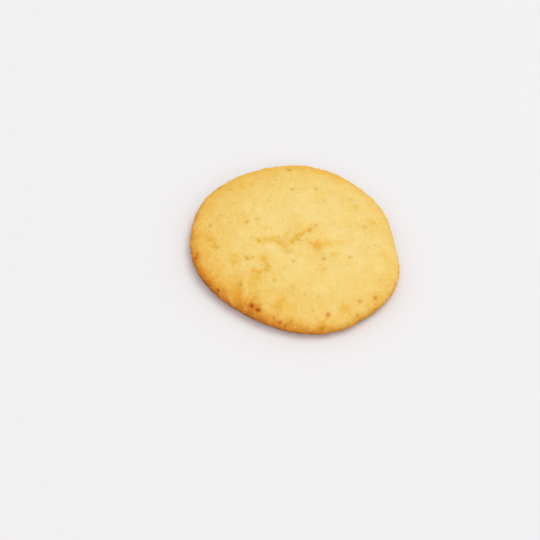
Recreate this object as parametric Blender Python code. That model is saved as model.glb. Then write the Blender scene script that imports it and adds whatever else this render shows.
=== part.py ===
"""One soft lemon cookie, lying on its flat baked underside.

Metres, +Z up. The origin is on the plane that the cookie rests on, under the middle of its box.
The cookie is one solid: a low dome of dough that has spread unevenly, with a rounded side,
a sunken and creased middle, and the larger pits where bubbles broke through the crust.
"""

import math

import bmesh
import bpy

MM = 0.001

# The outline, seen from above: a circle with a few shallow bulges, as spreading dough leaves it.
# Each wave is (how many bulges go round, how far they stand out, where one of them points).
MEAN_RADIUS = 36.6 * MM
OUTLINE_WAVES = (
    (1, 0.65 * MM, 282),
    (2, 0.9 * MM, 104),
    (3, 0.8 * MM, 74),
    (4, 0.1 * MM, 79),
    (5, 0.2 * MM, 67),
    (6, 0.3 * MM, 40),
    (7, 0.15 * MM, 38),
    (8, 0.1 * MM, 31),
)

# The section, from the middle of the top to the foot of the side
HEIGHT = 9.6 * MM
WIDEST_LEVEL = 3.2 * MM
DOME_POWER = 3.2
FOOT_SHARE = 0.93

# Long, low swells of the top: (length, way it runs in degrees, height, phase in degrees)
SWELLS = (
    (46 * MM, 20, 0.22 * MM, 40),
    (31 * MM, 105, 0.16 * MM, 200),
    (23 * MM, 62, 0.11 * MM, 310),
    (19 * MM, 150, 0.09 * MM, 80),
)

# The middle has sunk as the cookie cooled.
SINK_X = -3.5 * MM
SINK_Y = -5.5 * MM
SINK_REACH = 11 * MM
SINK_DEPTH = 0.55 * MM

# Creases and folds in the crust: depth, and the points in millimetres that each one runs through
CREASE_REACH = 1.5 * MM
CREASES = (
    (0.55 * MM, ((-13.9, -7.4), (-8.4, -6.2), (-5.5, -6.9), (-1.8, -4.6), (1.2, -0.6), (5.4, 4.7))),
    (0.40 * MM, ((-5.0, -6.9), (-2.5, -9.6))),
    (0.50 * MM, ((-13.3, -20.2), (-11.2, -20.8), (-8.7, -18.4), (-9.2, -14.9))),
    (0.40 * MM, ((-29.3, -8.3), (-28.4, -10.0), (-27.0, -12.1))),
    (0.35 * MM, ((-17.0, -22.5), (-16.2, -29.5))),
    (0.35 * MM, ((-12.2, -23.5), (-11.2, -30.0))),
)

# The larger pits: x, y, reach and depth, in millimetres
PITS = (
    (-10.4, -32.2, 2.2, 0.9),
    (-22.9, -26.8, 1.8, 0.6),
    (-32.2, -14.6, 1.8, 0.5),
    (-17.0, 1.4, 2.0, 0.4),
    (13.9, -31.2, 1.8, 0.5),
    (24.0, -25.5, 2.2, 0.4),
    (8.0, -6.5, 2.8, 0.35),
    (5.0, 20.5, 2.4, 0.3),
    (-30.0, -2.2, 1.8, 0.35),
)

# The relief dies away between these shares of the radius, so the side stays round.
RELIEF_FADES_FROM = 0.88
RELIEF_GONE_AT = 0.99

# Mesh: a rounded square grid covers the top as far as this share of the radius,
# and rings of the same count of corners go on from there, above and below the widest level.
GRID_CELLS = 52
GRID_SHARE = 0.86
RINGS_ABOVE = 5
RINGS_BELOW = 5

DOUGH_COLOUR = (0.88, 0.62, 0.21, 1.0)
DOUGH_ROUGHNESS = 0.75


def clear_scene():
    for obj in list(bpy.data.objects):
        bpy.data.objects.remove(obj, do_unlink=True)


def radius_at(angle):
    """Radius of the outline at its widest level, in the direction of the angle in radians."""
    waves = (size * math.cos(count * (angle - math.radians(way))) for count, size, way in OUTLINE_WAVES)
    return MEAN_RADIUS + sum(waves)


def dome_height(share):
    """Height of the plain dome: a superellipse from the full height down to the widest level."""
    return WIDEST_LEVEL + (HEIGHT - WIDEST_LEVEL) * math.sqrt(1 - share**DOME_POWER)


def distance_to_crease(x, y, points):
    """Shortest distance from a place to the straight runs between a crease's points."""
    nearest = math.inf
    for (ax, ay), (bx, by) in zip(points, points[1:]):
        run_x, run_y = (bx - ax) * MM, (by - ay) * MM
        off_x, off_y = x - ax * MM, y - ay * MM
        share = (off_x * run_x + off_y * run_y) / (run_x**2 + run_y**2)
        share = min(1.0, max(0.0, share))
        nearest = min(nearest, math.hypot(off_x - share * run_x, off_y - share * run_y))
    return nearest


def bell(distance, reach):
    return math.exp(-((distance / reach) ** 2))


def relief(x, y):
    """How far the top stands above its plain dome at a place, or lies below it."""
    rise = 0.0
    for length, way, height, phase in SWELLS:
        run = x * math.cos(math.radians(way)) + y * math.sin(math.radians(way))
        rise += height * math.cos(math.tau * run / length + math.radians(phase))
    rise -= SINK_DEPTH * bell(math.hypot(x - SINK_X, y - SINK_Y), SINK_REACH)
    for depth, points in CREASES:
        rise -= depth * bell(distance_to_crease(x, y, points), CREASE_REACH)
    for pit_x, pit_y, reach, depth in PITS:
        rise -= depth * MM * bell(math.hypot(x - pit_x * MM, y - pit_y * MM), reach * MM)
    return rise


def relief_left(share):
    """1 over the top, falling smoothly to 0 on the side."""
    fade = (RELIEF_GONE_AT - share) / (RELIEF_GONE_AT - RELIEF_FADES_FROM)
    fade = min(1.0, max(0.0, fade))
    return fade * fade * (3 - 2 * fade)


def top_place(share, angle):
    """A place on the top, with its relief."""
    x = share * radius_at(angle) * math.cos(angle)
    y = share * radius_at(angle) * math.sin(angle)
    return x, y, dome_height(share) + relief_left(share) * relief(x, y)


def under_place(turn, angle):
    """A place below the widest level, where a quarter of an ellipse tucks the side in to the foot."""
    share = FOOT_SHARE + (1 - FOOT_SHARE) * math.cos(turn)
    x = share * radius_at(angle) * math.cos(angle)
    y = share * radius_at(angle) * math.sin(angle)
    return x, y, WIDEST_LEVEL * (1 - math.sin(turn))


def square_to_disc(a, b):
    """Rounds the square from -1 to 1 into a disc, ring by ring: share of the radius, and angle."""
    if a == 0 and b == 0:
        return 0.0, 0.0
    quarter = math.pi / 4
    if abs(a) > abs(b):
        return abs(a), quarter * b / a + (math.pi if a < 0 else 0.0)
    return abs(b), 2 * quarter - quarter * a / b + (math.pi if b < 0 else 0.0)


def shape_top(bm):
    """A flat grid, rounded into a disc and lifted onto the dome."""
    bmesh.ops.create_grid(bm, x_segments=GRID_CELLS, y_segments=GRID_CELLS, size=1.0)
    for vert in bm.verts:
        ring, angle = square_to_disc(vert.co.x, vert.co.y)
        vert.co = top_place(GRID_SHARE * ring, angle)


def side_rings():
    """Functions of the angle that place each ring, from the top's edge down to the foot.

    Above the widest level the rings follow the superellipse in equal steps of its angle,
    and below it they follow the quarter of an ellipse.
    """
    start = math.acos(math.sqrt(1 - GRID_SHARE**DOME_POWER))
    rings = []
    for k in range(1, RINGS_ABOVE + 1):
        turn = start + (math.pi / 2 - start) * k / RINGS_ABOVE
        share = math.sin(turn) ** (2 / DOME_POWER)
        rings.append(lambda angle, share=share: top_place(share, angle))
    for k in range(1, RINGS_BELOW + 1):
        turn = math.pi / 2 * k / RINGS_BELOW
        rings.append(lambda angle, turn=turn: under_place(turn, angle))
    return rings


def extrude_side(bm):
    """The open edge is extruded ring by ring, round the side and in to the foot."""
    for place in side_rings():
        edge = [e for e in bm.edges if e.is_boundary]
        made = bmesh.ops.extrude_edge_only(bm, edges=edge)["geom"]
        for vert in made:
            if isinstance(vert, bmesh.types.BMVert):
                vert.co = place(math.atan2(vert.co.y, vert.co.x))


def close_underside(bm):
    """One flat face, which the cookie rests on."""
    foot = [e for e in bm.edges if e.is_boundary]
    bmesh.ops.holes_fill(bm, edges=foot, sides=len(foot))


def centre_over_origin(bm):
    """Puts the middle of the box over the origin, and the underside at height 0."""
    xs = [vert.co.x for vert in bm.verts]
    ys = [vert.co.y for vert in bm.verts]
    shift = (-(min(xs) + max(xs)) / 2, -(min(ys) + max(ys)) / 2, 0.0)
    bmesh.ops.translate(bm, verts=bm.verts, vec=shift)


def dough_material():
    material = bpy.data.materials.new("baked_dough")
    material.use_nodes = True
    shader = material.node_tree.nodes["Principled BSDF"]
    shader.inputs["Base Color"].default_value = DOUGH_COLOUR
    shader.inputs["Roughness"].default_value = DOUGH_ROUGHNESS
    return material


def make_cookie():
    bm = bmesh.new()
    shape_top(bm)
    extrude_side(bm)
    close_underside(bm)
    centre_over_origin(bm)
    bmesh.ops.recalc_face_normals(bm, faces=bm.faces)
    mesh = bpy.data.meshes.new("cookie")
    bm.to_mesh(mesh)
    bm.free()
    mesh.materials.append(dough_material())
    cookie = bpy.data.objects.new("cookie", mesh)
    bpy.context.scene.collection.objects.link(cookie)


clear_scene()
make_cookie()
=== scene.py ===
# %% [markdown]
# # A soft lemon cookie
#
# This notebook dresses one imported solid, a plain low cookie, in the crust of a real one. The
# crust is a single fine mesh worked out with numpy. Its shape is a function of two numbers, the
# direction round the cookie and the way along its section, and every groove, pit and grain is a
# small distance added in the surface's outward direction. The colours come from numbers that are
# stored on the corners of the same mesh, so that the browning, and the painted shade on the rim,
# follow the shape.

import math

import bpy
import numpy as np
from mathutils import Matrix, Vector


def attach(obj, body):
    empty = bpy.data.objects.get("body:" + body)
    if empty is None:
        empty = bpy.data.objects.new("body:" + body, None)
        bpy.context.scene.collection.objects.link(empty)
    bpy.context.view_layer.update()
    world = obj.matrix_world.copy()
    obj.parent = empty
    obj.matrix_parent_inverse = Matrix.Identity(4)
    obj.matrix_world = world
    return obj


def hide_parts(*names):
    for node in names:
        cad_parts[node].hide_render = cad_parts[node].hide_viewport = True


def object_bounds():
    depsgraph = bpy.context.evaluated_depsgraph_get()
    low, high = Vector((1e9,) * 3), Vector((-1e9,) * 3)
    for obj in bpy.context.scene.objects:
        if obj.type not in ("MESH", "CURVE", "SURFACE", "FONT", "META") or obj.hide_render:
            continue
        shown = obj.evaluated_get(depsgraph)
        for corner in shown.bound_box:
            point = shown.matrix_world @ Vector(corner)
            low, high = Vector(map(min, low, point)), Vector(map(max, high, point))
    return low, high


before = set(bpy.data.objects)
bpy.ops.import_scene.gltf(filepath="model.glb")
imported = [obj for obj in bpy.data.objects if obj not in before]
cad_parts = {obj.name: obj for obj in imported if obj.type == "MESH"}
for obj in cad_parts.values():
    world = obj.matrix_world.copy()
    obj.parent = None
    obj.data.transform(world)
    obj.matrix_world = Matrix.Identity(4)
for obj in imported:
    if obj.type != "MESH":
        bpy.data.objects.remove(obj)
solid_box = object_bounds()
print("solid box:", solid_box)

# %% [markdown]
# ## Outline
#
# A spoonful of dough spreads into a circle with a few shallow bulges. Each bulge is a cosine
# wave that goes round the circle a whole number of times, so the outline closes on itself, and
# a handful of waves is enough. Lengths are in millimetres until the mesh is made.

# %% The outline as waves round a circle
MEAN_RADIUS = 36.6
OUTLINE_STEPS = 720
# how many bulges go round, how far they stand out, and the direction in degrees of one of them
OUTLINE_WAVES = (
    (1, 0.65, 282),
    (2, 0.9, 104),
    (3, 0.8, 74),
    (4, 0.1, 79),
    (5, 0.2, 67),
    (6, 0.3, 40),
    (7, 0.15, 38),
    (8, 0.1, 31),
)


def outline_radius(angle):
    """Mean radius, plus size times the cosine of count times the angle from where the bulge points."""
    radius = np.full_like(angle, MEAN_RADIUS)
    for count, size, way in OUTLINE_WAVES:
        radius += size * np.cos(count * (angle - math.radians(way)))
    return radius


ways_round = np.linspace(0, math.tau, OUTLINE_STEPS, endpoint=False)
outline_x = outline_radius(ways_round) * np.cos(ways_round)
outline_y = outline_radius(ways_round) * np.sin(ways_round)
middle_x = (outline_x.min() + outline_x.max()) / 2
middle_y = (outline_y.min() + outline_y.max()) / 2
print(f"outline {np.ptp(outline_x):.1f} by {np.ptp(outline_y):.1f} mm")

# %% [markdown]
# ## Section
#
# Cut across, a cookie like this one is nearly flat on top, rounds over at the rim and tucks in
# a little to the foot that it stands on. A superellipse gives the top: like an ellipse, but with
# a power above two, so that it stays flat for longer. A quarter of an ellipse gives the tuck.
# The section is measured along its own length, because steps of equal length keep the mesh even.

# %% The section along its own length
HEIGHT = 9.6
WIDEST_LEVEL = 3.2
DOME_POWER = 3.2
FOOT_SHARE = 0.93
SECTION_STEPS = 400

quarter_turn = np.linspace(0, math.pi / 2, SECTION_STEPS)
share_along = np.append(
    np.sin(quarter_turn) ** (2 / DOME_POWER),
    FOOT_SHARE + (1 - FOOT_SHARE) * np.cos(quarter_turn[1:]),
)
height_along = np.append(
    WIDEST_LEVEL + (HEIGHT - WIDEST_LEVEL) * np.cos(quarter_turn),
    WIDEST_LEVEL * (1 - np.sin(quarter_turn[1:])),
)
steps = np.hypot(np.diff(share_along) * MEAN_RADIUS, np.diff(height_along))
way_along = np.append(0, np.cumsum(steps))
SECTION_LENGTH = way_along[-1]
WIDEST_ALONG = way_along[SECTION_STEPS - 1]
print(f"section {SECTION_LENGTH:.1f} mm from the middle of the top to the foot")

# %% [markdown]
# ## A grid without a pinched pole
#
# A disc made of rings and spokes has all its spokes meeting in the middle, in thin slivers that
# shade badly. Bending a square grid into a disc keeps the cells alike. The bend used here is
# smooth everywhere inside, so no line shows on the crust where two directions of the grid meet.

# %% Bend a square grid into a disc
def rounded_grid(cells):
    """Ring (0 to 1) and angle of each corner of a square grid that has been bent into a disc.

    Each coordinate is multiplied by the square root of one minus half the other one squared,
    which lays the square's four sides on the circle.
    """
    line = np.linspace(-1, 1, cells + 1)
    a, b = (part.ravel() for part in np.meshgrid(line, line))
    disc_x, disc_y = a * np.sqrt(1 - b**2 / 2), b * np.sqrt(1 - a**2 / 2)
    return np.hypot(disc_x, disc_y), np.arctan2(disc_y, disc_x) % math.tau


def grid_triangles(cells):
    """Two triangles for each cell of a grid whose corners are counted row by row."""
    corner = np.arange((cells + 1) ** 2).reshape(cells + 1, cells + 1)
    low_left, low_right = corner[:-1, :-1].ravel(), corner[:-1, 1:].ravel()
    up_left, up_right = corner[1:, :-1].ravel(), corner[1:, 1:].ravel()
    one = np.stack([low_left, low_right, up_right], 1)
    other = np.stack([low_left, up_right, up_left], 1)
    return np.concatenate([one, other])


def grid_edge(cells):
    """The grid's outer corners in order, once round from its first corner."""
    corner = np.arange((cells + 1) ** 2).reshape(cells + 1, cells + 1)
    return np.concatenate([corner[0, :-1], corner[:-1, -1], corner[-1, :0:-1], corner[:0:-1, 0]])


print("4 by 4 cells:", len(grid_triangles(4)), "triangles,", len(grid_edge(4)), "corners at the edge")

# %% [markdown]
# ## Noise
#
# Dough is uneven at every scale, from bulges a centimetre across to grains of sugar. Gradient
# noise draws this: random slopes on the corners of a lattice, with a smooth blend between them.
# Several layers, each finer and weaker than the last and turned by an odd angle so that the
# lattices never line up, add up to something that looks grown. Every layer has a fixed seed.

# %% Gradient noise in layers
LATTICE = 256
LAYER_TURN = 0.61


def gradient_noise(u, v, cell, seed):
    """Each lattice corner has a random slope. Slope times distance is blended from the four
    corners with the curve 6t^5 - 15t^4 + 10t^3, and 1.5 times that runs from about -1 to 1."""
    slope_way = np.random.default_rng(seed).uniform(0, math.tau, (LATTICE, LATTICE))
    turn = LAYER_TURN * (seed + 1)
    gu = (u * math.cos(turn) - v * math.sin(turn)) / cell
    gv = (u * math.sin(turn) + v * math.cos(turn)) / cell
    iu, iv = np.floor(gu).astype(int), np.floor(gv).astype(int)
    fu, fv = gu - iu, gv - iv

    def corner(du, dv):
        """The slope at one of the four corners times the distance from it."""
        way = slope_way[(iu + du) % LATTICE, (iv + dv) % LATTICE]
        return np.cos(way) * (fu - du) + np.sin(way) * (fv - dv)

    blend_u = fu**3 * (fu * (6 * fu - 15) + 10)
    blend_v = fv**3 * (fv * (6 * fv - 15) + 10)
    low = corner(0, 0) + blend_u * (corner(1, 0) - corner(0, 0))
    high = corner(0, 1) + blend_u * (corner(1, 1) - corner(0, 1))
    return 1.5 * (low + blend_v * (high - low))


def layered_noise(u, v, cell, seed, layers=3, weaker=0.5):
    """The sum of layers of gradient noise, each with half the cell of the last one and with its
    weight times weaker."""
    total, size, weight = np.zeros_like(u), cell, 1.0
    for layer in range(layers):
        total += weight * gradient_noise(u, v, size, seed + layer)
        size, weight = size / 2, weight * weaker
    return total


trial = layered_noise(outline_x, outline_y, 4.0, 0)
print(f"noise along the outline runs from {trial.min():.2f} to {trial.max():.2f}")

# %% [markdown]
# ## Pebbles
#
# Sugar and coarse flour give rounded grains that lie side by side, which smooth noise can't
# draw. Throwing one point into each cell of a lattice and measuring how far the nearest one is
# gives a round top for every point and a crease where two of them meet.

# %% Rounded grains side by side
def pebbles(u, v, cell, seed):
    """Rounded grains. One point is thrown into each cell of a lattice, and the height is one
    minus the squared distance, in cells, to the nearest of the points in the nine cells around."""
    thrown = np.random.default_rng(seed).uniform(0, 1, (2, LATTICE, LATTICE))
    gu, gv = u / cell, v / cell
    iu, iv = np.floor(gu).astype(int), np.floor(gv).astype(int)
    nearest = np.full_like(u, np.inf)
    for du in (-1, 0, 1):
        for dv in (-1, 0, 1):
            at = (iu + du) % LATTICE, (iv + dv) % LATTICE
            off_u = iu + du + thrown[0][at] - gu
            off_v = iv + dv + thrown[1][at] - gv
            nearest = np.minimum(nearest, off_u**2 + off_v**2)
    return 1 - np.minimum(nearest, 1)


trial = pebbles(outline_x, outline_y, 4.0, 0)
print(f"pebbles along the outline: {trial.mean():.2f} high on average")

# %% [markdown]
# ## Small curves
#
# A mark on a crust begins and ends softly, so nearly all of them are drawn with two curves: a
# step with rounded ends, where something sets in, and a bell, for a hollow, a groove or a spot.
# A groove needs the distance to a crooked line, and a side of the rim a bell round a direction.

# %% Steps, bells and distances
def smooth_step(low, high, value):
    """0 below low, 1 above high, and 3t^2 - 2t^3 between them."""
    t = np.clip((value - low) / (high - low), 0, 1)
    return t * t * (3 - 2 * t)


def bell(distance, reach):
    """e to the power of minus (distance over reach) squared."""
    return np.exp(-((distance / reach) ** 2))


def distance_to_line(x, y, points):
    """The shortest distance to any straight run between neighbouring points: the foot of the
    perpendicular where it falls inside the run, or else the nearer end."""
    nearest = np.full_like(x, np.inf)
    for (ax, ay), (bx, by) in zip(points, points[1:]):
        run_x, run_y = bx - ax, by - ay
        share = ((x - ax) * run_x + (y - ay) * run_y) / (run_x**2 + run_y**2)
        share = np.clip(share, 0, 1)
        nearest = np.minimum(nearest, np.hypot(x - ax - share * run_x, y - ay - share * run_y))
    return nearest


def towards(angle, way, width):
    """A bell of how far the angle, in radians, is from the direction way, in degrees, measured
    the shorter way round the circle. The width is its reach in degrees."""
    off = (np.degrees(angle) - way + 180) % 360 - 180
    return bell(off, width)


print("a bell at its reach stands at", round(float(bell(1, 1)), 2))

# %% [markdown]
# ## The crust's places
#
# First the plain surface: where each corner lies before any relief, which way is out, and how
# the surface unrolls flat. The relief below is drawn on two maps. Marks that are known from
# above use x and y. Grain uses the unrolled map, so it isn't stretched down the side.

# %% The plain top and side
CRUST_CELLS = 288

ring, angle = rounded_grid(CRUST_CELLS)
along = ring * SECTION_LENGTH
share = np.interp(along, way_along, share_along)
level = np.interp(along, way_along, height_along)
radius = outline_radius(angle)
plain_x, plain_y = share * radius * np.cos(angle), share * radius * np.sin(angle)
roll_u, roll_v = along * np.cos(angle), along * np.sin(angle)

rise_along = np.gradient(height_along, way_along)
spread_along = np.gradient(share_along * MEAN_RADIUS, way_along)
out_up = np.interp(along, way_along, spread_along)
out_side = -np.interp(along, way_along, rise_along)
out_length = np.hypot(out_up, out_side)
out_up, out_side = out_up / out_length, out_side / out_length
print(f"crust: {ring.size} corners, {SECTION_LENGTH * 2 / CRUST_CELLS:.2f} mm apart")

# %% [markdown]
# ## Swells and the sunken middle
#
# The top of a soft cookie isn't quite level. Long low waves that run different ways lift and
# lower it, and its middle has sunk as it cooled, which one wide bell draws. Both are the same
# as the solid's, so that the crust agrees with it in every large form.

# %% Long waves and a dip
# length, the way it runs in degrees, height, and phase in degrees
SWELLS = (
    (46, 20, 0.22, 40),
    (31, 105, 0.16, 200),
    (23, 62, 0.11, 310),
    (19, 150, 0.09, 80),
)
SINK_PLACE = (-3.5, -5.5)
SINK_REACH = 11
SINK_DEPTH = 0.55

swell = np.zeros_like(plain_x)
for length, way, size, phase in SWELLS:
    run = plain_x * math.cos(math.radians(way)) + plain_y * math.sin(math.radians(way))
    swell += size * np.cos(math.tau * run / length + math.radians(phase))
sink_distance = np.hypot(plain_x - SINK_PLACE[0], plain_y - SINK_PLACE[1])
swell -= SINK_DEPTH * bell(sink_distance, SINK_REACH)
print(f"swells and dip from {swell.min():.2f} to {swell.max():.2f} mm")

# %% [markdown]
# ## Creases and folds
#
# Where the middle sank, the skin creased. A crease is a groove along a crooked line: a wide
# shallow valley, as in the solid, with a narrow split in its floor. A real split is deeper in
# some stretches than in others, so each long crease is listed in several.

# %% The creases' lines
# depth of the valley, depth of the split, and the points that this stretch runs through
CREASES = (
    (0.28, 0.14, ((-13.0, -6.4), (-10.6, -5.9), (-8.2, -5.1), (-5.7, -5.9))),
    (0.38, 0.42, ((-5.7, -5.9), (-4.6, -6.5), (-3.0, -6.2), (-1.8, -4.6), (-0.4, -2.8), (1.1, -0.4))),
    (0.16, 0.10, ((1.1, -0.4), (3.6, 1.9), (5.4, 5.0))),
    (0.26, 0.44, ((-5.0, -6.6), (-4.3, -7.5), (-2.9, -9.3))),
    (0.14, 0.28, ((-3.4, -4.6), (-4.1, -2.2), (-3.6, -0.4))),
    (0.30, 0.40, ((-12.8, -20.0), (-10.9, -20.5), (-9.1, -19.2), (-8.6, -17.5), (-9.8, -15.2))),
    (0.05, 0.14, ((-8.1, -18.6), (-6.8, -20.4), (-5.6, -22.6))),
    (0.06, 0.10, ((-19.9, -16.1), (-18.2, -18.8), (-15.7, -21.0))),
    (0.22, 0.36, ((-29.3, -8.3), (-28.4, -10.0), (-27.0, -12.1))),
    (0.26, 0.04, ((-17.1, -22.4), (-16.8, -26.0), (-16.2, -29.5))),
    (0.26, 0.04, ((-12.4, -23.4), (-12.0, -27.0), (-11.0, -30.0))),
)
DEEPEST_VALLEY = max(crease[0] for crease in CREASES)
DEEPEST_SPLIT = max(crease[1] for crease in CREASES)
print(f"{len(CREASES)} stretches, valleys to {DEEPEST_VALLEY} mm, splits to {DEEPEST_SPLIT} mm")

# %% [markdown]
# The lines are pushed about by noise, because a split wanders from grain to grain, and clumps of
# crumb that stayed behind break them up: a share of the split is left there. A low lip runs
# along both sides, where the skin was pushed up, and the crumb near a split lies rough.

# %% Press the creases in
WANDER, WANDER_SIZE, WANDER_SEEDS = 0.6, 1.8, (11, 21)
VALLEY_REACH = 1.6
SPLIT_REACH = 0.7
LIP_OFF, LIP_REACH, LIP_HEIGHT = 2.1, 0.8, 0.15
CLUMP_SIZE, CLUMP_BAND, CLUMP_SEED = 2.4, (-0.35, 0.45), 25
SPLIT_LEFT = 0.30
BROKEN_REACH, BROKEN_HEIGHT = 2.6, 0.34
RUBBLE_SIZE, RUBBLE_SEED = 1.3, 28

wander_x = plain_x + WANDER * layered_noise(plain_x, plain_y, WANDER_SIZE, WANDER_SEEDS[0])
wander_y = plain_y + WANDER * layered_noise(plain_x, plain_y, WANDER_SIZE, WANDER_SEEDS[1])
clumps = smooth_step(*CLUMP_BAND, layered_noise(roll_u, roll_v, CLUMP_SIZE, CLUMP_SEED, weaker=0.6))
rubble = layered_noise(roll_u, roll_v, RUBBLE_SIZE, RUBBLE_SEED, layers=2)
valley, split = np.zeros_like(plain_x), np.zeros_like(plain_x)
lip, broken = np.zeros_like(plain_x), np.zeros_like(plain_x)
for valley_depth, split_depth, points in CREASES:
    off_line = distance_to_line(wander_x, wander_y, points)
    valley = np.maximum(valley, valley_depth * bell(off_line, VALLEY_REACH))
    split = np.maximum(split, split_depth * bell(off_line, SPLIT_REACH))
    strength = split_depth / DEEPEST_SPLIT
    lip = np.maximum(lip, LIP_HEIGHT * strength * bell(off_line - LIP_OFF, LIP_REACH))
    broken = np.maximum(broken, strength * bell(off_line, BROKEN_REACH))
split *= SPLIT_LEFT + (1 - SPLIT_LEFT) * clumps
lip *= 1 - clumps
print(f"deepest crease {np.max(valley + split):.2f} mm")

# %% [markdown]
# ## Pits
#
# Bubbles in the dough break through the skin and leave pits, and each pit is coloured darker
# inside by an amount listed with it. The ones that show are listed: on the top by x and y, and
# round the rim by a direction and a distance, because that is how they are found on the unrolled map.

# %% The pits that show
# x, y, reach, depth, and how dark it is coloured from 0 to 1
NAMED_PITS = (
    (-17.9, 0.7, 0.75, 0.36, 0.42),
    (-14.6, 2.4, 0.70, 0.30, 0.35),
    (-30.1, -2.2, 0.75, 0.34, 0.40),
    (-15.8, -15.4, 0.80, 0.36, 0.42),
    (-16.3, -26.2, 0.70, 0.42, 0.42),
    (13.9, -32.0, 0.75, 0.50, 0.70),
    (23.7, -28.6, 0.55, 0.30, 0.45),
    (24.0, -23.7, 0.60, 0.40, 0.60),
    (28.9, -20.4, 0.65, 0.35, 0.55),
    (-4.6, 19.8, 0.75, 0.30, 0.45),
    (3.6, 22.5, 0.80, 0.32, 0.45),
    (6.9, 16.8, 0.60, 0.22, 0.30),
    (-5.4, -23.0, 0.60, 0.28, 0.35),
    (0.8, -24.6, 0.50, 0.22, 0.30),
    (-0.3, -13.9, 0.60, 0.25, 0.35),
    (9.8, -10.1, 0.80, 0.32, 0.45),
    (18.4, -7.3, 0.75, 0.32, 0.45),
    (22.2, 8.8, 0.80, 0.30, 0.35),
    (5.4, 4.5, 0.65, 0.28, 0.36),
    (3.4, 1.7, 0.70, 0.34, 0.38),
    (-11.4, 14.5, 0.60, 0.25, 0.30),
    (-27.3, 2.5, 0.60, 0.25, 0.30),
    (26.8, 1.2, 0.60, 0.22, 0.30),
    (-6.9, 31.3, 0.90, 0.45, 0.50),
)
# direction in degrees, mm past the widest line, reach, depth, and how dark it is coloured
RIM_PITS = (
    (251.0, -3.0, 0.95, 0.62, 0.80),
    (255.5, -2.8, 0.90, 0.68, 1.0),
    (230.5, -1.1, 0.70, 0.50, 0.85),
    (204.2, -2.5, 0.60, 0.36, 0.60),
    (206.0, -1.6, 0.60, 0.38, 0.66),
    (268.2, -1.2, 0.55, 0.35, 0.75),
    (271.0, -0.7, 0.50, 0.30, 0.75),
    (273.8, -2.8, 0.50, 0.22, 0.32),
    (264.8, -2.2, 0.55, 0.30, 0.50),
    (289.2, -1.0, 0.50, 0.22, 0.20),
    (282.2, -1.2, 0.50, 0.25, 0.45),
    (285.2, -6.6, 0.50, 0.20, 0.30),
)


def unrolled(way, past):
    """The place on the unrolled map of a mark that lies past the widest line by some mm, in the
    direction way: the length from the middle, times the direction's cosine and sine."""
    at, way = WIDEST_ALONG + past, math.radians(way)
    return at * math.cos(way), at * math.sin(way)


rim_pits = [(*unrolled(way, past), *rest) for way, past, *rest in RIM_PITS]
print(f"{len(NAMED_PITS)} pits on the top and {len(rim_pits)} round the rim")

# %% [markdown]
# Many smaller pits are scattered with a seeded random generator. Raising a random number to a
# power below one half puts more of them towards the edge, where the dough was thinnest.

# %% Scatter the small pits
SCATTERED_PITS = 85
PIT_SEED = 7
CROWDING = 0.42
FOOT_MARGIN = 4.0
LEAST_REACH, MORE_REACH = 0.25, 0.40
DEPTH_SHARES = (0.15, 0.40)
DARKNESS = (0.0, 0.30)

dice = np.random.default_rng(PIT_SEED)
scatter_ring = dice.uniform(0, 1, SCATTERED_PITS) ** CROWDING * (SECTION_LENGTH - FOOT_MARGIN)
scatter_way = dice.uniform(0, math.tau, SCATTERED_PITS)
scatter_reach = LEAST_REACH + MORE_REACH * dice.uniform(0, 1, SCATTERED_PITS) ** 2
scatter_depth = scatter_reach * dice.uniform(*DEPTH_SHARES, SCATTERED_PITS)
scatter_dark = dice.uniform(*DARKNESS, SCATTERED_PITS)
scatter_u, scatter_v = scatter_ring * np.cos(scatter_way), scatter_ring * np.sin(scatter_way)
scattered = list(zip(scatter_u, scatter_v, scatter_reach, scatter_depth, scatter_dark))
print(f"scattered pits from {scatter_depth.min():.2f} to {scatter_depth.max():.2f} mm deep")

# %% [markdown]
# A pit is a bell-shaped hollow. Its rim is uneven, which comes from stretching the distances by
# noise before the bell is taken. The same bell, times how dark the pit is coloured, is kept for
# the colours.

# %% Press the pits in
RAGGED_SIZE, RAGGED_SHARE, RAGGED_SEED = 1.3, 0.30, 31

ragged = 1 + RAGGED_SHARE * gradient_noise(roll_u, roll_v, RAGGED_SIZE, RAGGED_SEED)


def pit_marks(map_x, map_y, pits):
    """The deepest of depth times bell, and the darkest of darkness times bell, of all the pits."""
    hollow, baked = np.zeros_like(map_x), np.zeros_like(map_x)
    for pit_x, pit_y, reach, depth, dark in pits:
        inside = bell(np.hypot(map_x - pit_x, map_y - pit_y) * ragged, reach)
        hollow = np.maximum(hollow, depth * inside)
        baked = np.maximum(baked, dark * inside)
    return hollow, baked


top_hollow, top_dark = pit_marks(plain_x, plain_y, NAMED_PITS)
other_hollow, other_dark = pit_marks(roll_u, roll_v, [*rim_pits, *scattered])
pit_hollow, pit_dark = np.maximum(top_hollow, other_hollow), np.maximum(top_dark, other_dark)
print(f"deepest pit {pit_hollow.max():.2f} mm")

# %% [markdown]
# ## Grain
#
# Butter, sugar and coarse flour leave a fine sandy grain: soft lumps a few millimetres across,
# with pebbles and grains of about a millimetre on them. Turning the noise's valleys into creases
# by taking its absolute value gives the short cracked look that the rim has. At the lower left
# the skin was stretched as the dough ran down, so there the noise is drawn out across the rim.

# %% Lumps, grains, streaks and a cracked rim
LUMP_SIZE, LUMP_HEIGHT, LUMP_SEED = 4.0, 0.20, 41
PEBBLE_SIZE, PEBBLE_HEIGHT, PEBBLE_SEED = 1.15, 0.16, 57
GRAIN_SIZE, GRAIN_HEIGHT, GRAIN_SEED = 1.0, 0.17, 51
CRACK_SIZE, CRACK_DEPTH, CRACK_SEED = 2.4, 0.18, 61
CRACK_NARROWING = 3.2
STREAK_SIZE, STREAK_HEIGHT, STREAK_SEED = 1.5, 0.16, 65
STREAK_STRETCH = 3.5
STREAK_WAY, STREAK_WIDTH = 238, 38
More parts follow.
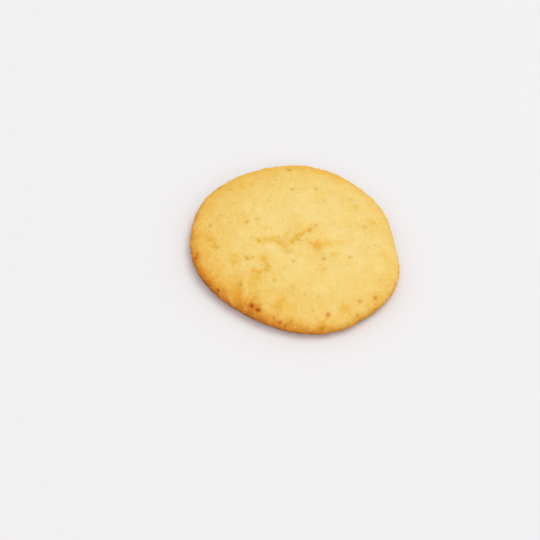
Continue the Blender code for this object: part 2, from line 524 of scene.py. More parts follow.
# shares of the radius, and heights above the foot, between which a finish sets in
STREAK_BAND = (0.72, 0.95)
RIM_BAND, RIM_LEVELS = (0.80, 0.97), (0.5, 2.5)

lumps = layered_noise(roll_u, roll_v, LUMP_SIZE, LUMP_SEED)
grain = layered_noise(roll_u, roll_v, GRAIN_SIZE, GRAIN_SEED, layers=2, weaker=0.65)
sandy = PEBBLE_HEIGHT * pebbles(roll_u, roll_v, PEBBLE_SIZE, PEBBLE_SEED) + GRAIN_HEIGHT * grain
rim = smooth_step(*RIM_BAND, share) * smooth_step(*RIM_LEVELS, level)
crack_noise = layered_noise(roll_u, roll_v, CRACK_SIZE, CRACK_SEED, layers=2)
cracks = 1 - np.minimum(1, CRACK_NARROWING * abs(crack_noise))
round_way, drawn_out = angle * MEAN_RADIUS, along / STREAK_STRETCH
streaks = layered_noise(round_way, drawn_out, STREAK_SIZE, STREAK_SEED, layers=2)
streaks *= smooth_step(*STREAK_BAND, share) * towards(angle, STREAK_WAY, STREAK_WIDTH)
print(f"sandy grain from {sandy.min():.2f} to {sandy.max():.2f} mm")

# %% [markdown]
# ## Adding the relief up
#
# All of this is one distance in the outward direction. The swells and creases belong to the top
# and die away before the side, and the grain dies away at the foot, so that the cookie lies flat.

# %% Push the surface out and in
TOP_BAND = (0.88, 0.99)
FOOT_LEVELS = (0.0, 1.2)

top_only = 1 - smooth_step(*TOP_BAND, share)
near_foot = smooth_step(*FOOT_LEVELS, level)
height_off = top_only * (swell + lip + BROKEN_HEIGHT * broken * rubble - valley - split)
height_off += near_foot * (LUMP_HEIGHT * lumps + sandy + STREAK_HEIGHT * streaks)
height_off -= near_foot * CRACK_DEPTH * rim * cracks
height_off -= near_foot * pit_hollow

crust_x = plain_x + height_off * out_side * np.cos(angle) - middle_x
crust_y = plain_y + height_off * out_side * np.sin(angle) - middle_y
crust_z = np.maximum(level + height_off * out_up, 0)
print(f"relief from {height_off.min():.2f} to {height_off.max():.2f} mm")

# %% [markdown]
# ## Underside
#
# The bottom baked on a tray, so it is flat, with pores where steam was caught. It gets a coarser
# grid of its own with the same outline, a little smaller, so that a belt fits round it. The
# pores stop short of its edge.

# %% The flat underside
UNDER_CELLS = 72
BELT_SHARES = (0.985, 0.965)
PORE_SIZE, PORE_DEPTH, PORE_SEED = 2.2, 0.22, 71
PORE_BAND, PORE_FREE_EDGE = (0.25, 0.75), 0.08

under_ring, under_angle = rounded_grid(UNDER_CELLS)
under_radius = outline_radius(under_angle) * FOOT_SHARE * BELT_SHARES[1]
under_x = under_ring * under_radius * np.cos(under_angle) - middle_x * BELT_SHARES[1]
under_y = under_ring * under_radius * np.sin(under_angle) - middle_y * BELT_SHARES[1]
pores = smooth_step(*PORE_BAND, gradient_noise(under_x, under_y, PORE_SIZE, PORE_SEED))
under_z = PORE_DEPTH * pores * smooth_step(0.0, PORE_FREE_EDGE, 1 - under_ring)
print(f"underside: {under_x.size} corners, {np.mean(pores > 0.5):.0%} of them in pores")

# %% [markdown]
# ## Closing the mesh
#
# The crust's edge has many more corners than the underside's. Two belts of triangles, each from
# a ring of corners to one of half as many, join the fine edge to the coarse one, so that the
# mesh is closed. Triangles seen from below are listed the other way round, to face down.

# %% The belts, and all the corners and triangles
def belt_triangles(outer, inner):
    """Three triangles for each corner of the inner ring, which has half as many as the outer."""
    here, after = inner, np.roll(inner, -1)
    start, middle, end = outer[::2], outer[1::2], np.roll(outer[::2], -1)
    return np.concatenate([
        np.stack([start, middle, here], 1),
        np.stack([middle, after, here], 1),
        np.stack([middle, end, after], 1),
    ])


foot_edge = grid_edge(CRUST_CELLS)
foot_x, foot_y = crust_x[foot_edge], crust_y[foot_edge]
belt_x, belt_y = foot_x[::2] * BELT_SHARES[0], foot_y[::2] * BELT_SHARES[0]
belt_count = belt_x.size
belt = crust_x.size + np.arange(belt_count)
under_first = crust_x.size + belt_count
under_edge = under_first + grid_edge(UNDER_CELLS)

places = np.stack([
    np.concatenate([crust_x, belt_x, under_x]),
    np.concatenate([crust_y, belt_y, under_y]),
    np.concatenate([crust_z, np.zeros(belt_count), under_z]),
], 1)
triangles = np.concatenate([
    grid_triangles(CRUST_CELLS),
    belt_triangles(foot_edge, belt)[:, ::-1],
    belt_triangles(belt, under_edge)[:, ::-1],
    (grid_triangles(UNDER_CELLS) + under_first)[:, ::-1],
])
print(f"cookie mesh: {len(places)} corners, {len(triangles)} triangles")

# %% [markdown]
# ## Keeping the solid's size
#
# The dressed cookie is kept inside the solid that it stands for. Both are centred in the same
# way, so it is enough to measure how far it reaches and to draw it in by the share it is over.

# %% Fit inside the solid
MM = 0.001

solid_low, solid_high = (np.array(corner) / MM for corner in solid_box)
visual_low, visual_high = places.min(0), places.max(0)
fit = np.minimum(1, solid_high / visual_high)
fit[:2] = np.minimum(fit[:2], solid_low[:2] / visual_low[:2])
places *= fit
print("before:", visual_low.round(2), visual_high.round(2), "drawn in by", (1 - fit).round(4))

# %% [markdown]
# ## Browning and painted shade
#
# Five numbers at each corner, all from 0 to 1, carry the baking and some painted shade. Golden is
# a soft warm tint that comes in well inside the rim. It is strongest on the left half, and there it
# is partly the crust's own colour and partly painted shade, on the side turned away from the key
# light and next to where a neighbouring cookie lay. A narrow band of it on the back rim is painted
# shade, which tones down the key light there. Browning is the toasted edge itself, a few
# millimetres wide, and goes on down the side to the foot; on the lower left it is stronger, partly
# as painted shade of the neighbouring cookie. The darkness of the pits is known already, and the
# yolk and pale patches follow below. How strong the edge is differs round the cookie, so it is
# listed by direction.

# %% How strong the baking and the painted shade are in each direction
# levels every 30 degrees, from the right, through the back, the left and the front
# painted shade in part: strongest from 120 to 240 degrees, on the side turned away from the key light
GOLDEN_AND_SHADE_ROUND = (0.04, 0.05, 0.18, 0.50, 0.72, 0.74, 0.78, 0.78, 0.74, 0.50, 0.36, 0.18)
# painted shade: a narrow band on the back rim, from 60 to 120 degrees, that tones down the key light
EDGE_SHADE_ROUND = (0.24, 0.52, 0.92, 1.00, 0.62, 0.25, 0.12, 0.00, 0.00, 0.05, 0.20, 0.45)
# painted shade in part: the highest levels, from 150 to 240 degrees, paint the shade a neighbouring
# cookie cast on the lower left rim
BROWN_AND_SHADE_ROUND = (0.42, 0.24, 0.20, 0.30, 0.48, 0.86, 0.80, 1.00, 1.00, 0.82, 0.56, 0.62)


def by_direction(angle, levels):
    """Levels at equal steps round the circle, from +X towards +Y, joined by straight lines."""
    ways = np.linspace(0, math.tau, len(levels) + 1)
    return np.interp(angle % math.tau, ways, [*levels, levels[0]])


golden_and_shade_round = by_direction(angle, GOLDEN_AND_SHADE_ROUND)
edge_shade_round = by_direction(angle, EDGE_SHADE_ROUND)
brown_and_shade_round = by_direction(angle, BROWN_AND_SHADE_ROUND)
print(f"golden {golden_and_shade_round.mean():.2f}, edge {edge_shade_round.mean():.2f}, brown {brown_and_shade_round.mean():.2f}")

# %% [markdown]
# Across the rim, each tint is a smooth step: the golden one, with its band of painted shade, by
# the share of the radius, and the browning by how far a place lies past the widest line. Noise
# shifts where the steps begin, so that their edges are patchy. Some spots have browned more, and
# some on the lower left and at the front foot are painted shade; all of those are bells on top.

# %% Golden tint, browned edge and painted shade
# shares of the radius between which the tints set in, and how far the noise shifts them
GOLDEN_BAND, GOLDEN_SHIFT = (0.50, 0.98), 0.05
EDGE_SHADE_BAND, EDGE_SHADE_SHIFT = (0.80, 0.97), 0.02
PATCH_SIZE, PATCH_SEED = 4.0, 81
BLOT_SIZE, BLOT_SHARE, BLOT_SEED = 1.5, 0.45, 91
# mm past the widest line: a well browned side starts earlier, by up to TOAST_EARLIER
TOAST_START, TOAST_END, TOAST_EARLIER = -1.5, 2.2, 2.8
PATCH_SHIFT, STREAK_SHIFT = 0.9, 0.8
SIDE_BROWN, SIDE_BAND = 0.35, (0.5, 4.5)
# painted shade in part: the patches from 193 to 240 degrees paint a neighbouring cookie's shade on the
# lower left rim, the one at 276 degrees is a painted contact shadow at the foot, and the others are
# browned spots
# direction in degrees, mm past the widest line, reach, strength
BROWN_AND_SHADE_PATCHES = (
    (251.5, -2.9, 2.4, 0.60),
    (244.0, -2.8, 2.6, 0.20),
    (216.0, -1.2, 2.4, 0.16),
    (224.0, -1.6, 2.5, 0.22),
    (232.0, -2.2, 2.8, 0.28),
    (240.0, -3.6, 2.8, 0.12),
    (324.2, -30.8, 2.0, 0.16),
    (205.0, -1.6, 2.2, 0.31),
    (193.0, -2.6, 2.4, 0.10),
    (208.0, -3.0, 2.6, 0.14),
    (257.0, -1.2, 2.2, 0.24),
    (266.0, -4.6, 1.8, 0.12),
    (276.0, 0.8, 1.8, 0.25),
    (273.2, -2.2, 1.3, 0.26),
    (275.6, -2.1, 1.2, 0.16),
    (267.2, -1.2, 1.2, 0.25),
    (278.0, -2.1, 1.0, 0.14),
    (289.2, -0.8, 1.5, 0.30),
    (324.8, -3.5, 1.6, 0.15),
)

patches = layered_noise(roll_u, roll_v, PATCH_SIZE, PATCH_SEED)
blot = 1 + BLOT_SHARE * gradient_noise(roll_u, roll_v, BLOT_SIZE, BLOT_SEED)
golden_and_shade = golden_and_shade_round * smooth_step(*GOLDEN_BAND, share + GOLDEN_SHIFT * patches)
golden_and_shade += edge_shade_round * smooth_step(*EDGE_SHADE_BAND, share + EDGE_SHADE_SHIFT * patches)
past_edge = along - WIDEST_ALONG + PATCH_SHIFT * patches + STREAK_SHIFT * streaks
toasted = smooth_step(TOAST_START - TOAST_EARLIER * brown_and_shade_round, TOAST_END, past_edge)
browning_and_shade = brown_and_shade_round * toasted + SIDE_BROWN * smooth_step(*SIDE_BAND, past_edge)
for way, past, reach, strength in BROWN_AND_SHADE_PATCHES:
    spot_u, spot_v = unrolled(way, past)
    off = np.hypot(roll_u - spot_u, roll_v - spot_v)
    browning_and_shade += strength * (1 - browning_and_shade) * bell(off * blot, reach)
golden_and_shade, browning_and_shade = np.clip(golden_and_shade, 0, 1), np.clip(browning_and_shade, 0, 1)
print(f"golden {golden_and_shade.mean():.2f} and browning {browning_and_shade.mean():.2f} on average")

# %% [markdown]
# ## Yolk and pale patches
#
# Where butter and lemon soaked the crumb, and on the floors of the creases, the crust is a
# deeper yellow. Where the skin is thick and dry it is paler. Both are lists of blots, and where
# two of them overlap the stronger one counts. A faint wash of noise is added to the yolk.

# %% Blots of deeper and paler yellow
# x, y, reach, strength
YOLK_PATCHES = (
    (6.8, -4.9, 2.1, 1.00),
    (10.4, -3.1, 1.6, 0.75),
    (-19.2, -17.5, 1.6, 1.00),
    (-20.0, -15.2, 1.3, 0.85),
    (-10.4, -14.7, 1.4, 0.80),
    (-8.7, -16.9, 1.3, 0.85),
    (-9.6, -19.3, 1.0, 0.80),
    (-7.6, -19.1, 0.9, 0.60),
    (-9.8, -19.0, 6.0, 0.18),
    (-11.2, -22.2, 3.0, 0.30),
    (12.6, -7.6, 1.2, 0.75),
    (10.0, -15.3, 1.2, 0.65),
    (19.0, -28.0, 2.0, 0.85),
    (-2.2, -31.5, 1.8, 0.85),
    (12.8, -35.3, 1.7, 0.85),
    (24.8, 12.1, 1.8, 0.55),
    (29.4, -1.8, 1.6, 0.50),
    (18.7, 16.7, 1.6, 0.45),
    (-21.7, 18.9, 1.8, 0.60),
    (-18.7, 20.4, 1.6, 0.50),
    (-12.5, -26.0, 1.3, 0.60),
    (-17.2, -24.4, 1.2, 0.50),
    (-16.4, -28.8, 1.2, 0.60),
    (-5.7, -6.0, 1.3, 0.75),
    (-3.4, -6.6, 1.0, 0.70),
    (-0.3, -2.7, 0.9, 0.90),
    (1.2, -0.6, 0.9, 1.00),
    (3.4, 1.6, 0.7, 0.70),
    (-8.2, -5.1, 1.4, 0.70),
    (-10.6, -5.9, 1.3, 0.55),
    (-12.6, -6.3, 1.0, 0.20),
    (-4.2, -7.7, 1.1, 0.50),
    (-11.0, -21.2, 1.2, 0.75),
    (-12.6, -20.2, 0.9, 0.60),
    (-16.2, -26.1, 1.2, 0.60),
    (2.6, -36.4, 1.4, 0.60),
)
PALE_PATCHES = (
    (-7.7, -8.9, 1.6, 0.90),
    (-3.9, -12.0, 2.2, 0.70),
    (-10.8, -17.9, 1.2, 0.90),
    (-12.6, -22.8, 1.0, 0.70),
    (-15.1, -22.6, 0.9, 0.80),
    (-14.4, -25.6, 0.9, 0.90),
    (-13.6, -28.6, 0.9, 0.80),
    (18.0, -5.5, 5.0, 0.60),
    (14.5, -21.0, 4.0, 0.50),
    (4.0, 10.0, 7.0, 0.50),
    (-9.0, 2.0, 5.0, 0.45),
    (12.5, 2.7, 3.4, 0.80),
    (14.4, -15.0, 3.0, 0.45),
    (16.3, -30.3, 3.0, 0.45),
    (33.0, 2.0, 3.0, 0.50),
    (-2.7, 10.4, 2.6, 0.70),
    (11.3, 9.2, 2.4, 0.70),
    (16.5, 0.9, 2.2, 0.80),
    (20.5, -12.7, 2.4, 0.60),
    (23.5, -22.6, 1.8, 0.60),
)
VALLEY_YOLK, SPLIT_YOLK, VALLEY_LEFT = 0.9, 0.7, 0.4
WASH_SIZE, WASH_STRENGTH, WASH_SEED = 6.0, 0.26, 97
WASH_BAND = (0.0, 0.8)


def blots(patches):
    """The most of strength times bell over all the patches, with the map bent as at the creases."""
    mark = np.zeros_like(plain_x)
    for patch_x, patch_y, reach, strength in patches:
        off = np.hypot(wander_x - patch_x, wander_y - patch_y) * blot
        mark = np.maximum(mark, strength * bell(off, reach))
    return mark


in_valley = VALLEY_YOLK * valley / DEEPEST_VALLEY * (VALLEY_LEFT + (1 - VALLEY_LEFT) * clumps)
in_crease = in_valley + SPLIT_YOLK * split / DEEPEST_SPLIT
wash = smooth_step(*WASH_BAND, layered_noise(roll_u, roll_v, WASH_SIZE, WASH_SEED))
yolk = np.clip(np.maximum(blots(YOLK_PATCHES), in_crease) + WASH_STRENGTH * wash, 0, 1)
pale = blots(PALE_PATCHES) * (1 - yolk)
print(f"yolk {yolk.mean():.2f} and pale {pale.mean():.2f} on average")

# %% [markdown]
# ## The underside's browning
#
# A cookie's bottom is its brownest side, because it touched the tray. It is a little darker
# towards its edge and paler in the pores, which didn't touch. The belts share its tone.

# %% Brown the underside and gather the five numbers
UNDER_BROWN, BELT_BROWN = 0.60, 0.75
UNDER_EDGE_BROWN, UNDER_EDGE_BAND = 0.16, (0.7, 1.0)
UNDER_MOTTLE, UNDER_MOTTLE_SIZE, UNDER_SEED = 0.12, 9.0, 73
PORE_PALER = 0.14

under_edge_step = smooth_step(*UNDER_EDGE_BAND, under_ring)
under_patches = layered_noise(under_x, under_y, UNDER_MOTTLE_SIZE, UNDER_SEED)
under_brown = (
    UNDER_BROWN + UNDER_EDGE_BROWN * under_edge_step + UNDER_MOTTLE * under_patches - PORE_PALER * pores
)
belt_and_under = belt_count + under_x.size
attributes = {
    "golden_and_shade": np.concatenate([golden_and_shade, np.ones(belt_and_under)]),
    "browning_and_shade": np.concatenate([browning_and_shade, np.full(belt_count, BELT_BROWN), under_brown]),
    "pits": np.concatenate([pit_dark, np.zeros(belt_and_under)]),
    "yolk": np.concatenate([yolk, np.zeros(belt_and_under)]),
    "pale": np.concatenate([pale, np.zeros(belt_and_under)]),
}
print(f"underside browned from {under_brown.min():.2f} to {under_brown.max():.2f}")

# %% [markdown]
# ## Into Blender
#
# Blender takes a mesh as a list of corners and a list of faces. The corners are turned from
# millimetres into metres here, and the object stays at the origin, so that patterns on its own
# coordinates stay in place. Each of the five numbers becomes an attribute that materials read.

# %% Put the cookie into a mesh
def mesh_piece(name, corners_mm, faces, values):
    """A smooth-shaded object at the origin. Each corner is its place in millimetres times 0.001,
    and values holds one list of numbers, one for each corner, under each attribute's name."""
    mesh = bpy.data.meshes.new(name)
    mesh.from_pydata((corners_mm * MM).tolist(), [], faces.tolist())
    for key, numbers in values.items():
        layer = mesh.attributes.new(key, "FLOAT", "POINT")
        layer.data.foreach_set("value", np.asarray(numbers, dtype=np.float32))
    mesh.shade_smooth()
    mesh.update()
    piece = bpy.data.objects.new(name, mesh)
    bpy.context.scene.collection.objects.link(piece)
    return piece


cookie = mesh_piece("cookie_crust", places, triangles, attributes)
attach(cookie, "root")
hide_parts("cookie")
print("cookie_crust:", len(cookie.data.polygons), "faces")

# %% [markdown]
# ## Crumbs
#
# A few crumbs cling to the lower rim. Each is a ball of a few dozen faces, pushed in and out at
# random so that no two are alike. A ball of rings closes with a fan of triangles at each end.

# %% One crumb
CRUMB_CELLS = 8
BULGE = (0.65, 1.2)


def crumb_ball(size, seed):
    """A ball on rings of latitude. Each corner's radius is the size times a random one of BULGE."""
    down = np.linspace(0, math.pi, CRUMB_CELLS // 2 + 1)[1:-1]
    about = np.linspace(0, math.tau, CRUMB_CELLS, endpoint=False)
    about_grid, down_grid = (part.ravel() for part in np.meshgrid(about, down))
    ball = np.stack([
        np.sin(down_grid) * np.cos(about_grid),
        np.sin(down_grid) * np.sin(about_grid),
        np.cos(down_grid),
    ], 1)
    ball = np.concatenate([ball, [[0, 0, 1.0], [0, 0, -1.0]]])
    bulge = np.random.default_rng(seed).uniform(*BULGE, len(ball))
    return ball * bulge[:, None] * size


def crumb_faces():
    """Two triangles between neighbouring rings of the ball, and a fan at each end."""
    rings = CRUMB_CELLS // 2 - 1
    grid = np.arange(rings * CRUMB_CELLS).reshape(rings, CRUMB_CELLS)
    upper, lower = grid[:-1], grid[1:]
    upper_next, lower_next = np.roll(upper, -1, 1), np.roll(lower, -1, 1)
    one = np.stack([upper, lower, lower_next], -1).reshape(-1, 3)
    other = np.stack([upper, lower_next, upper_next], -1).reshape(-1, 3)
    top, bottom = grid.size, grid.size + 1
    first, last = grid[0], grid[-1]
    cap = np.stack([np.full(CRUMB_CELLS, top), first, np.roll(first, -1)], 1)
    base = np.stack([np.full(CRUMB_CELLS, bottom), np.roll(last, -1), last], 1)
    return np.concatenate([one, other, cap, base])


print("a crumb has", len(crumb_faces()), "faces")

# %% [markdown]
# Each crumb sits with its middle on the crust, so that half of it is sunk in. The corner of the
# crust that lies nearest to the wanted spot on the unrolled map gives that place.

# %% Loose crumbs on the rim
# direction in degrees, mm past the widest line, size, and how brown from 0 to 1
CRUMBS = (
    (276.2, -1.1, 0.20, 0.0),
    (269.2, -0.5, 0.20, 0.1),
    (266.8, -0.6, 0.17, 0.3),
    (281.8, 1.3, 0.24, 0.0),
    (286.0, 0.9, 0.13, 0.7),
    (291.5, 1.8, 0.16, 0.9),
    (299.5, 1.9, 0.18, 0.5),
    (308.5, 1.9, 0.15, 0.7),
    (273.0, 1.2, 0.15, 0.8),
    (262.2, 0.9, 0.16, 0.7),
    (259.0, 0.3, 0.17, 0.6),
    (251.8, 0.6, 0.16, 0.7),
    (249.0, 0.4, 0.18, 0.6),
    (244.5, 0.8, 0.17, 0.7),
    (239.0, 1.2, 0.18, 0.8),
    (236.2, 0.5, 0.16, 0.6),
    (231.5, 0.8, 0.17, 0.8),
    (225.0, 0.6, 0.16, 0.8),
)
CRUMB_SEED = 19

corners = []
for number, (way, past, size, _) in enumerate(CRUMBS):
    spot_u, spot_v = unrolled(way, past)
    spot = np.argmin(np.hypot(roll_u - spot_u, roll_v - spot_v))
    corners.append(crumb_ball(size, CRUMB_SEED + number) + places[spot])
per_crumb = len(corners[0])
faces = np.concatenate([crumb_faces() + per_crumb * k for k in range(len(CRUMBS))])
crumb_places = np.clip(np.concatenate(corners), solid_low, solid_high)
crumb_tone = np.repeat([crumb[-1] for crumb in CRUMBS], per_crumb)
crumbs = mesh_piece("rim_crumbs", crumb_places, faces, {"tone": crumb_tone})
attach(crumbs, "root")
print(f"{len(CRUMBS)} crumbs, {len(faces)} faces")

# %% [markdown]
# ## The baked crust's finish
#
# A crust is matte, because its skin is dry and rough, and light soaks a little way into the
# crumb. The colour starts as pale lemon dough and is changed step by step: mottling at two
# scales, the patches, the browning and painted shade with its own colour ramp, the dark pits,
# and last fine pale grains and specks of scorched sugar. Each step is one mix, so it is easy to
# weaken. The nodes come in the same few groups again and again, so each group gets a short helper.

# %% Helpers for building materials
def new_material(name):
    """A material, its node tree, and the Principled shader that is joined to its output."""
    material = bpy.data.materials.new(name)
    material.use_nodes = True
    return material, material.node_tree, material.node_tree.nodes["Principled BSDF"]


def own_place(tree):
    """The place on the object itself, in metres."""
    return tree.nodes.new("ShaderNodeTexCoord").outputs["Object"]


def stored(tree, name):
    """The number from 0 to 1 that the mesh holds under this name."""
    node = tree.nodes.new("ShaderNodeAttribute")
    node.attribute_name = name
    return node.outputs["Fac"]


def mottle(tree, place, scale, detail, rough=0.55):
    """Noise of about scale cells to the metre, plus detail finer layers, each weaker by rough."""
    node = tree.nodes.new("ShaderNodeTexNoise")
    for socket, number in (("Scale", scale), ("Detail", detail), ("Roughness", rough)):
        node.inputs[socket].default_value = number
    tree.links.new(place, node.inputs["Vector"])
    return node.outputs["Fac"]


def ranged(tree, value, low, high, to_low=0.0, to_high=1.0):
    """Value less low, over high less low, laid onto to_low to to_high and held inside."""
    node = tree.nodes.new("ShaderNodeMapRange")
    for socket, number in zip(("From Min", "From Max", "To Min", "To Max"), (low, high, to_low, to_high)):
        node.inputs[socket].default_value = number
    tree.links.new(value, node.inputs["Value"])
    return node.outputs["Result"]


def product(tree, first, second):
    """First times second, held between 0 and 1. The second is a socket or a plain number."""
    node = tree.nodes.new("ShaderNodeMath")
    node.operation = "MULTIPLY"
    node.use_clamp = True
    tree.links.new(first, node.inputs[0])
    if isinstance(second, float):
        node.inputs[1].default_value = second
    else:
        tree.links.new(second, node.inputs[1])
    return node.outputs[0]

# %% [markdown]
# Two more helpers change the colour. One mixes a second colour in by an amount. The other
# multiplies by a ramp that starts at white, so that the mottling below still shows through.

# %% Helpers that change a colour
def mixed(tree, amount, first, second, blend="MIX"):
    """First times one minus the amount, plus second times the amount, or another blend of
    Blender's. Each of the colours is a socket or a plain colour."""
    node = tree.nodes.new("ShaderNodeMix")
    node.data_type = "RGBA"
    node.blend_type = blend
    if isinstance(amount, float):
        node.inputs[0].default_value = amount
    else:
        tree.links.new(amount, node.inputs[0])
    for socket, colour in ((node.inputs[6], first), (node.inputs[7], second)):
        if isinstance(colour, tuple):
            socket.default_value = (*colour, 1)
        else:
            tree.links.new(colour, socket)
    return node.outputs[2]


def tint(tree, colour, name, *stops):
    """The colour times a ramp, read at the number that the mesh holds under this name. The ramp
    is white at 0, and each stop is a place on it and the shade there, the last one at 1."""
    ramp = tree.nodes.new("ShaderNodeValToRGB")
    ramp.color_ramp.elements[0].color = (1, 1, 1, 1)
    ramp.color_ramp.elements[1].color = (*stops[-1][1], 1)
    for position, shade in stops[:-1]:
        ramp.color_ramp.elements.new(position).color = (*shade, 1)
    tree.links.new(stored(tree, name), ramp.inputs["Fac"])
    return mixed(tree, 1.0, colour, ramp.outputs["Color"], "MULTIPLY")

# %% [markdown]
# The dough itself is mottled between two pale yellows in patches of a few millimetres, with
# buttery grains of about a millimetre between them, and then the pale patches go on.

# %% Pale mottled dough
PALE = (0.860, 0.613, 0.187)
PALER = (0.880, 0.668, 0.252)
PALEST = (0.900, 0.700, 0.300)
BUTTER = (0.835, 0.560, 0.125)
# cells to the metre, and the part of the noise's range that is used
BROAD_SCALE, BROAD_RANGE = 170, (0.35, 0.66)
FINE_SCALE, FINE_RANGE = 700, (0.36, 0.66)
BUTTER_MIX, PALEST_MIX = 0.40, 0.7

crust, tree, shader = new_material("baked_crust")
place = own_place(tree)
broad = ranged(tree, mottle(tree, place, BROAD_SCALE, detail=3), *BROAD_RANGE)
fine = ranged(tree, mottle(tree, place, FINE_SCALE, detail=3), *FINE_RANGE)
colour = mixed(tree, broad, PALE, PALER)
colour = mixed(tree, product(tree, fine, BUTTER_MIX), colour, BUTTER)
colour = mixed(tree, product(tree, stored(tree, "pale"), PALEST_MIX), colour, PALEST)
print("baked_crust: mottled dough,", len(tree.nodes), "nodes")

# %% [markdown]
# Baking takes blue away first, then green, and red last, so a tint goes from white over yellow
# and orange to brown. The toasted edge has the most stops, because it passes through them all.

# %% The tints of baking, and painted shade
colour = tint(tree, colour, "yolk", (1.0, (0.93, 0.79, 0.36)))
# painted shade: the golden and browning numbers also hold painted shade on the rim, so these ramps darken
# it too
colour = tint(tree, colour, "golden_and_shade", (1.0, (0.975, 0.81, 0.455)))
colour = tint(
    tree, colour, "browning_and_shade",
    (0.3, (0.93, 0.72, 0.40)),
    (0.6, (0.80, 0.45, 0.14)),
    (1.0, (0.46, 0.18, 0.03)),
)
colour = tint(tree, colour, "pits", (0.5, (0.82, 0.62, 0.32)), (1.0, (0.46, 0.19, 0.01)))
print("baked_crust: with its tints,", len(tree.nodes), "nodes")

# %% [markdown]
# On the browned rim, the tips of the grains stayed paler than the skin between them. All over,
# a few specks of sugar have scorched: small dots round the points of a Voronoi pattern, shown
# only where a broad noise is high, so that they come in loose groups.

# %% Grain tips and scorched specks
GRAIN_TIP = (0.74, 0.43, 0.16)
SCORCHED = (0.55, 0.28, 0.07)
TIP_SCALE, TIP_RANGE, TIP_MIX = 1400, (0.53, 0.66), 0.28
SPECK_SCALE, SPECK_NEAR, SPECK_MIX = 420, (0.16, 0.30), 0.35
GROUP_SCALE, GROUP_RANGE = 300, (0.58, 0.68)

tips = ranged(tree, mottle(tree, place, TIP_SCALE, detail=2), *TIP_RANGE)
tips = product(tree, tips, stored(tree, "browning_and_shade"))
colour = mixed(tree, product(tree, tips, TIP_MIX), colour, GRAIN_TIP)

dots = tree.nodes.new("ShaderNodeTexVoronoi")
dots.inputs["Scale"].default_value = SPECK_SCALE
tree.links.new(place, dots.inputs["Vector"])
near_dot = ranged(tree, dots.outputs["Distance"], *SPECK_NEAR, 1.0, 0.0)
in_group = ranged(tree, mottle(tree, place, GROUP_SCALE, detail=1), *GROUP_RANGE)
specks = product(tree, near_dot, in_group)
colour = mixed(tree, product(tree, specks, SPECK_MIX), colour, SCORCHED)
tree.links.new(colour, shader.inputs["Base Color"])
print("baked_crust: coloured,", len(tree.nodes), "nodes")

# %% [markdown]
# The skin hardly shines, and unevenly. A little light passes under it and comes out warmer,
# which softens the small shadows. Bump stands in only for the skin's dust-fine roughness. All
# the relief that can be seen is in the mesh.

# %% The skin's sheen, softness and finest roughness
SHEEN_SCALE, SHEEN_RANGE, SKIN_ROUGHNESS = 900, (0.3, 0.7), (0.62, 0.86)
SKIN_SCALE, SKIN_DETAIL, SKIN_WEAKER = 1500, 4, 0.65
SKIN_BUMP = 0.00025

roughness = ranged(tree, mottle(tree, place, SHEEN_SCALE, detail=2), *SHEEN_RANGE, *SKIN_ROUGHNESS)
tree.links.new(roughness, shader.inputs["Roughness"])
shader.inputs["IOR"].default_value = 1.45
shader.inputs["Specular IOR Level"].default_value = 0.15
shader.inputs["Subsurface Weight"].default_value = 0.12
shader.inputs["Subsurface Radius"].default_value = (1.0, 0.55, 0.20)
shader.inputs["Subsurface Scale"].default_value = 0.0012

bump = tree.nodes.new("ShaderNodeBump")
bump.inputs["Strength"].default_value = 1.0
bump.inputs["Distance"].default_value = SKIN_BUMP
tree.links.new(mottle(tree, place, SKIN_SCALE, SKIN_DETAIL, SKIN_WEAKER), bump.inputs["Height"])
tree.links.new(bump.outputs["Normal"], shader.inputs["Normal"])
cookie.data.materials.append(crust)
print("baked_crust: finished,", len(tree.nodes), "nodes")

# %% [markdown]
# ## The crumbs' finish
#
# Crumbs are bits of the same dough, some pale and some browned. Each carries its tone as a
# number on its corners, which mixes two colours, and buttery freckles break the surface up.

# %% Pale and browned crumbs
CRUMB_PALE, CRUMB_BROWN = (0.82, 0.58, 0.24), (0.58, 0.27, 0.06)
FRECKLE_SCALE, FRECKLE_RANGE, FRECKLE_MIX = 2400, (0.4, 0.7), 0.4

crumb_finish, tree, shader = new_material("pale_crumb")
colour = mixed(tree, stored(tree, "tone"), CRUMB_PALE, CRUMB_BROWN)
freckles = ranged(tree, mottle(tree, own_place(tree), FRECKLE_SCALE, detail=2), *FRECKLE_RANGE)
colour = mixed(tree, product(tree, freckles, FRECKLE_MIX), colour, BUTTER)
tree.links.new(colour, shader.inputs["Base Color"])
shader.inputs["Roughness"].default_value = 0.85
crumbs.data.materials.append(crumb_finish)
print("pale_crumb:", len(tree.nodes), "nodes")

# %% [markdown]
# ## Floor
#
# The floor is one plain pale face, so wide that its edge is far outside the picture.

# %% A plain pale floor
FLOOR_HALF = 1.6
FLOOR_COLOUR = (0.80, 0.79, 0.80, 1)

floor_corners = FLOOR_HALF * np.array([(-1, -1, 0), (1, -1, 0), (1, 1, 0), (-1, 1, 0)])
floor_mesh = bpy.data.meshes.new("floor")
floor_mesh.from_pydata(floor_corners.tolist(), [], [(0, 1, 2, 3)])
floor = bpy.data.objects.new("floor", floor_mesh)
bpy.context.scene.collection.objects.link(floor)
floor_finish, tree, shader = new_material("pale_floor")
shader.inputs["Base Color"].default_value = FLOOR_COLOUR
shader.inputs["Roughness"].default_value = 0.9
floor_mesh.materials.append(floor_finish)
print(f"floor {2 * FLOOR_HALF} m square")

# %% [markdown]
# ## Light
#
# A wide soft light from above and behind, to the right, gives the gentle shade at the lower
# left. A wider and weaker one from the front keeps that shade open, and an even white
# surrounding fills the rest. The Standard view keeps the yellow as clear as it was mixed.

# %% Two soft lights and an even room
KEY_PLACE, KEY_SIZE, KEY_WATTS = (0.70, 0.80, 2.40), 1.5, 20.4
FILL_PLACE, FILL_SIZE, FILL_WATTS = (0.1, -2.4, 1.8), 2.4, 15
ROOM_STRENGTH = 0.781


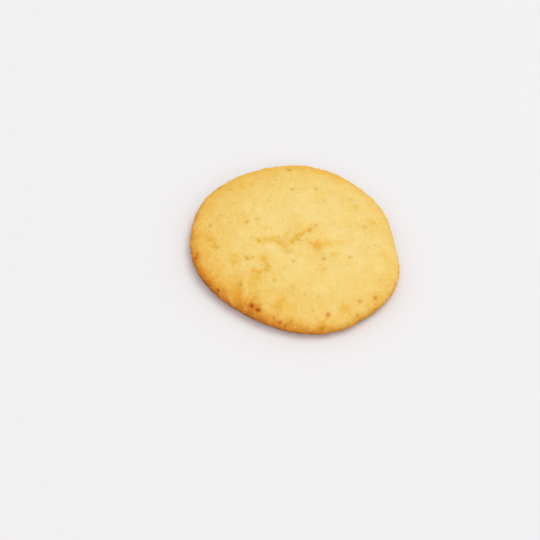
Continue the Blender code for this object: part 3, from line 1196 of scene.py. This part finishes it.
def soft_light(name, place, size, watts):
    """A square lamp at a place in metres, facing the origin."""
    lamp = bpy.data.lights.new(name, "AREA")
    lamp.size = size
    lamp.energy = watts
    holder = bpy.data.objects.new(name, lamp)
    holder.location = place
    holder.rotation_euler = (-Vector(place)).to_track_quat("-Z", "Y").to_euler()
    bpy.context.scene.collection.objects.link(holder)


soft_light("key_light", KEY_PLACE, KEY_SIZE, KEY_WATTS)
soft_light("fill_light", FILL_PLACE, FILL_SIZE, FILL_WATTS)

world = bpy.data.worlds.new("soft_room")
world.use_nodes = True
room = world.node_tree.nodes["Background"]
room.inputs["Color"].default_value = (1, 1, 1, 1)
room.inputs["Strength"].default_value = ROOM_STRENGTH
bpy.context.scene.world = world
bpy.context.scene.view_settings.view_transform = "Standard"
print(f"key {KEY_WATTS} W, fill {FILL_WATTS} W, room {ROOM_STRENGTH}")

# %% [markdown]
# ## Camera
#
# The camera looks down at 48 degrees with a long lens, so that the near and far sides look alike
# in size. It is rolled by 10 degrees, which turns the cookie in the picture without moving it.
# Its three axes are worked out as vectors: back towards the camera, right, and up across both,
# the last two turned by the roll. Side by side they are the columns of its rotation matrix.

# %% A long lens, looking down
ELEVATION = math.radians(48)
ROLL = math.radians(10)
DISTANCE = 509.1
AIM = np.array([-7.31, -7.58, -3.75])
LENS_MM = 100
NEAREST_SEEN = 0.01

back = np.array([0, -math.cos(ELEVATION), math.sin(ELEVATION)])
right = np.array([1.0, 0, 0])
up = np.cross(back, right)
rolled_right = math.cos(ROLL) * right + math.sin(ROLL) * up
rolled_up = -math.sin(ROLL) * right + math.cos(ROLL) * up
camera = bpy.data.objects.new("camera", bpy.data.cameras.new("camera"))
camera.data.lens = LENS_MM
camera.data.clip_start = NEAREST_SEEN
camera.location = (AIM + back * DISTANCE) * MM
camera.rotation_euler = Matrix(np.stack([rolled_right, rolled_up, back], 1).tolist()).to_euler()
bpy.context.scene.collection.objects.link(camera)
bpy.context.scene.camera = camera
print(f"camera {DISTANCE:.0f} mm away, {LENS_MM} mm lens")
